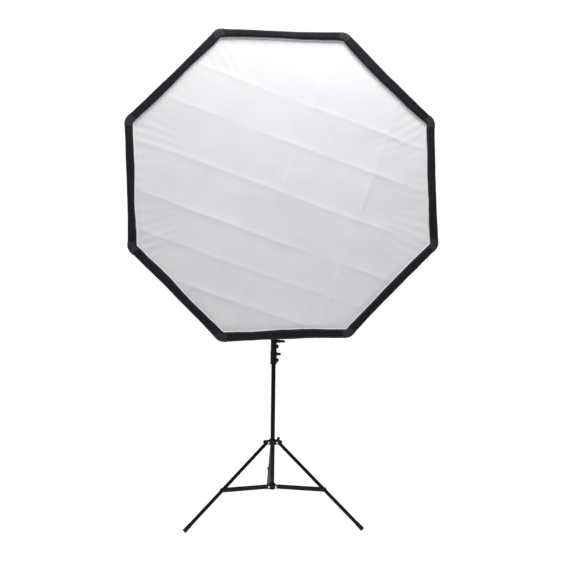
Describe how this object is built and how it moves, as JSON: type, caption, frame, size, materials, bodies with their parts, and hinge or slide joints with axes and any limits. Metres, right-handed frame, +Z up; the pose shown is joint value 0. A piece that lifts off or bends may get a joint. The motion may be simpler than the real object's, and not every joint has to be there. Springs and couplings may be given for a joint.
{
  "type": "studio softbox",
  "caption": "Eight-sided fabric softbox with white front diffuser, on a tilting flash bracket and a folding three-leg light stand.",
  "frame": {"origin": "on the floor, below the middle of the whole object's box", "axes": "+Z up along the column, -Y the way the softbox faces, +X to the right seen from the front"},
  "size_m": [1.1348, 0.985, 1.9254],
  "materials": {
    "stand_metal": "satin black enamel",
    "collar_plastic": "fine moulded grain",
    "knob_plastic": "semi-gloss moulded",
    "foot_rubber": "matte moulded rubber",
    "bright_steel": "plated and polished",
    "spigot_metal": "turned, plated",
    "bracket_plastic": "glass-filled nylon, fine grain",
    "ring_metal": "turned, clear anodised",
    "rod_fibre": "drawn glass-fibre rod",
    "black_fabric": "coated nylon weave",
    "trim_fabric": "woven hook-and-loop tape and elastic",
    "white_fabric": "translucent white diffuser cloth"
  },
  "bodies": {
    "stand_base": {"column_lower": "stand_metal", "column_end_cap": "foot_rubber", "brace_hub": "collar_plastic", "brace_hub_pins": "bright_steel", "collar_lower": "collar_plastic"},
    "collar_lower_knob": {"collar_lower_knob": "knob_plastic"},
    "column_middle": {"column_middle": "stand_metal", "middle_guide_bush": "collar_plastic", "collar_middle": "collar_plastic"},
    "collar_middle_knob": {"collar_middle_knob": "knob_plastic"},
    "column_upper": {"column_upper": "stand_metal", "upper_guide_bush": "collar_plastic", "top_spigot": "spigot_metal"},
    "leg_collar": {"leg_collar": "collar_plastic", "leg_pins": "bright_steel"},
    "leg_collar_knob": {"leg_collar_knob": "knob_plastic"},
    "bracket_base": {"tilt_base": "bracket_plastic", "tilt_bolt": "bright_steel"},
    "tilt_lever": {"tilt_lever": "bracket_plastic"},
    "spigot_knob": {"spigot_knob": "knob_plastic"},
    "umbrella_screw": {"umbrella_screw": "knob_plastic"},
    "bracket_frame": {"bracket_frame": "bracket_plastic", "latch_cover": "bright_steel", "latch_spring": "bright_steel", "lower_pad": "foot_rubber", "mount_insert": "ring_metal", "retaining_ring": "ring_metal"},
    "release_latch": {"release_latch": "bracket_plastic"},
    "clamp_jaw": {"clamp_jaw": "bracket_plastic", "upper_pad": "foot_rubber"},
    "clamp_knob": {"clamp_knob": "knob_plastic"},
    "softbox": {"speedring_body": "ring_metal", "canopy_shell": "black_fabric", "rear_collar": "black_fabric", "front_rim": "black_fabric", "hook_and_loop_strip": "trim_fabric", "front_diffuser": "white_fabric", "rod_tips": "rod_fibre", "corner_pockets": "black_fabric", "inner_baffle": "white_fabric", "baffle_straps": "trim_fabric", "rod_1": "rod_fibre", "rod_2": "rod_fibre", "rod_3": "rod_fibre", "rod_4": "rod_fibre", "rod_5": "rod_fibre", "rod_6": "rod_fibre", "rod_7": "rod_fibre", "rod_8": "rod_fibre"},
    "speedring_lock_knob": {"speedring_lock_knob": "knob_plastic"},
    "leg_1": {"leg_1": "stand_metal", "foot_1": "foot_rubber"},
    "brace_1": {"brace_1": "stand_metal"},
    "leg_2": {"leg_2": "stand_metal", "foot_2": "foot_rubber"},
    "brace_2": {"brace_2": "stand_metal"},
    "leg_3": {"leg_3": "stand_metal", "foot_3": "foot_rubber"},
    "brace_3": {"brace_3": "stand_metal"}
  },
  "joints": [
    {"name": "lower_collar_knob_turn", "type": "hinge", "parent": "stand_base", "child": "collar_lower_knob", "pos_m": [0.02, 0.06746, 0.704], "axis": [1, 0, 0], "continuous": true},
    {"name": "middle_section_slide", "type": "slide", "parent": "stand_base", "child": "column_middle", "axis": [0, 0, 1], "range_m": [0, 0.45]},
    {"name": "middle_collar_knob_turn", "type": "hinge", "parent": "column_middle", "child": "collar_middle_knob", "pos_m": [0.03, 0.06746, 0.76], "axis": [1, 0, 0], "continuous": true},
    {"name": "upper_section_slide", "type": "slide", "parent": "column_middle", "child": "column_upper", "axis": [0, 0, 1], "range_m": [-0.42, 0.08]},
    {"name": "leg_collar_slide", "type": "slide", "parent": "stand_base", "child": "leg_collar", "axis": [0, 0, 1], "range_m": [0, 0.308]},
    {"name": "leg_collar_knob_turn", "type": "hinge", "parent": "leg_collar", "child": "leg_collar_knob", "pos_m": [0.02165, 0.07996, 0.3205], "axis": [0.866, 0.5, 0], "continuous": true},
    {"name": "leg_1_fold", "type": "hinge", "parent": "leg_collar", "child": "leg_1", "pos_m": [0, 0.09546, 0.3205], "axis": [-1, 0, 0], "range_deg": [0, 46.2]},
    {"name": "brace_1_fold", "type": "hinge", "parent": "stand_base", "child": "brace_1", "pos_m": [0, 0.09146, 0.128], "axis": [-1, 0, 0], "range_deg": [-78.6, 0]},
    {"name": "leg_2_fold", "type": "hinge", "parent": "leg_collar", "child": "leg_2", "pos_m": [-0.02425, 0.05346, 0.3205], "axis": [0.5, -0.866, 0], "range_deg": [0, 46.2]},
    {"name": "brace_2_fold", "type": "hinge", "parent": "stand_base", "child": "brace_2", "pos_m": [-0.02079, 0.05546, 0.128], "axis": [0.5, -0.866, 0], "range_deg": [-78.6, 0]},
    {"name": "leg_3_fold", "type": "hinge", "parent": "leg_collar", "child": "leg_3", "pos_m": [0.02425, 0.05346, 0.3205], "axis": [0.5, 0.866, 0], "range_deg": [0, 46.2]},
    {"name": "brace_3_fold", "type": "hinge", "parent": "stand_base", "child": "brace_3", "pos_m": [0.02079, 0.05546, 0.128], "axis": [0.5, 0.866, 0], "range_deg": [-78.6, 0]},
    {"name": "bracket_pan", "type": "hinge", "parent": "column_upper", "child": "bracket_base", "pos_m": [0, 0.06746, 1.22], "axis": [0, 0, 1], "continuous": true},
    {"name": "spigot_knob_turn", "type": "hinge", "parent": "bracket_base", "child": "spigot_knob", "pos_m": [0.02, 0.06746, 1.219], "axis": [1, 0, 0], "continuous": true},
    {"name": "umbrella_screw_turn", "type": "hinge", "parent": "bracket_base", "child": "umbrella_screw", "pos_m": [-0.034, 0.06746, 1.242], "axis": [1, 0, 0], "continuous": true},
    {"name": "tilt_lever_turn", "type": "hinge", "parent": "bracket_base", "child": "tilt_lever", "pos_m": [0.022, 0.06746, 1.263], "axis": [1, 0, 0], "range_deg": [-35, 25]},
    {"name": "bracket_tilt", "type": "hinge", "parent": "bracket_base", "child": "bracket_frame", "pos_m": [0, 0.06746, 1.263], "axis": [1, 0, 0], "range_deg": [-60, 30]},
    {"name": "latch_release", "type": "slide", "parent": "bracket_frame", "child": "release_latch", "axis": [0, 0, 1], "range_m": [0, 0.004], "stiffness_N_per_m": 600, "springref_m": -0.004, "deforming": ["latch_spring"]},
    {"name": "clamp_jaw_slide", "type": "slide", "parent": "bracket_frame", "child": "clamp_jaw", "axis": [0, 0, 1], "range_m": [-0.01, 0.018]},
    {"name": "clamp_knob_turn", "type": "hinge", "parent": "clamp_jaw", "child": "clamp_knob", "pos_m": [0, 0.06746, 1.46], "axis": [0, 0, 1], "range_deg": [-1201, 2161]},
    {"name": "softbox_turn", "type": "hinge", "parent": "bracket_frame", "child": "softbox", "pos_m": [0, 0.00746, 1.358], "axis": [0, -1, 0], "continuous": true},
    {"name": "speedring_lock_knob_turn", "type": "hinge", "parent": "softbox", "child": "speedring_lock_knob", "pos_m": [0.07498, 0.01196, 1.3599], "axis": [0.9997, 0, 0.0253], "continuous": true}
  ],
  "couplings": [
    {"joint": "leg_1_fold", "follows": "leg_collar_slide", "rad_per_m": 2.6123},
    {"joint": "brace_1_fold", "follows": "leg_collar_slide", "rad_per_m": -4.446},
    {"joint": "leg_2_fold", "follows": "leg_collar_slide", "rad_per_m": 2.6123},
    {"joint": "brace_2_fold", "follows": "leg_collar_slide", "rad_per_m": -4.446},
    {"joint": "leg_3_fold", "follows": "leg_collar_slide", "rad_per_m": 2.6123},
    {"joint": "brace_3_fold", "follows": "leg_collar_slide", "rad_per_m": -4.446},
    {"joint": "clamp_knob_turn", "follows": "clamp_jaw_slide", "rad_per_m": 2094.4}
  ]
}
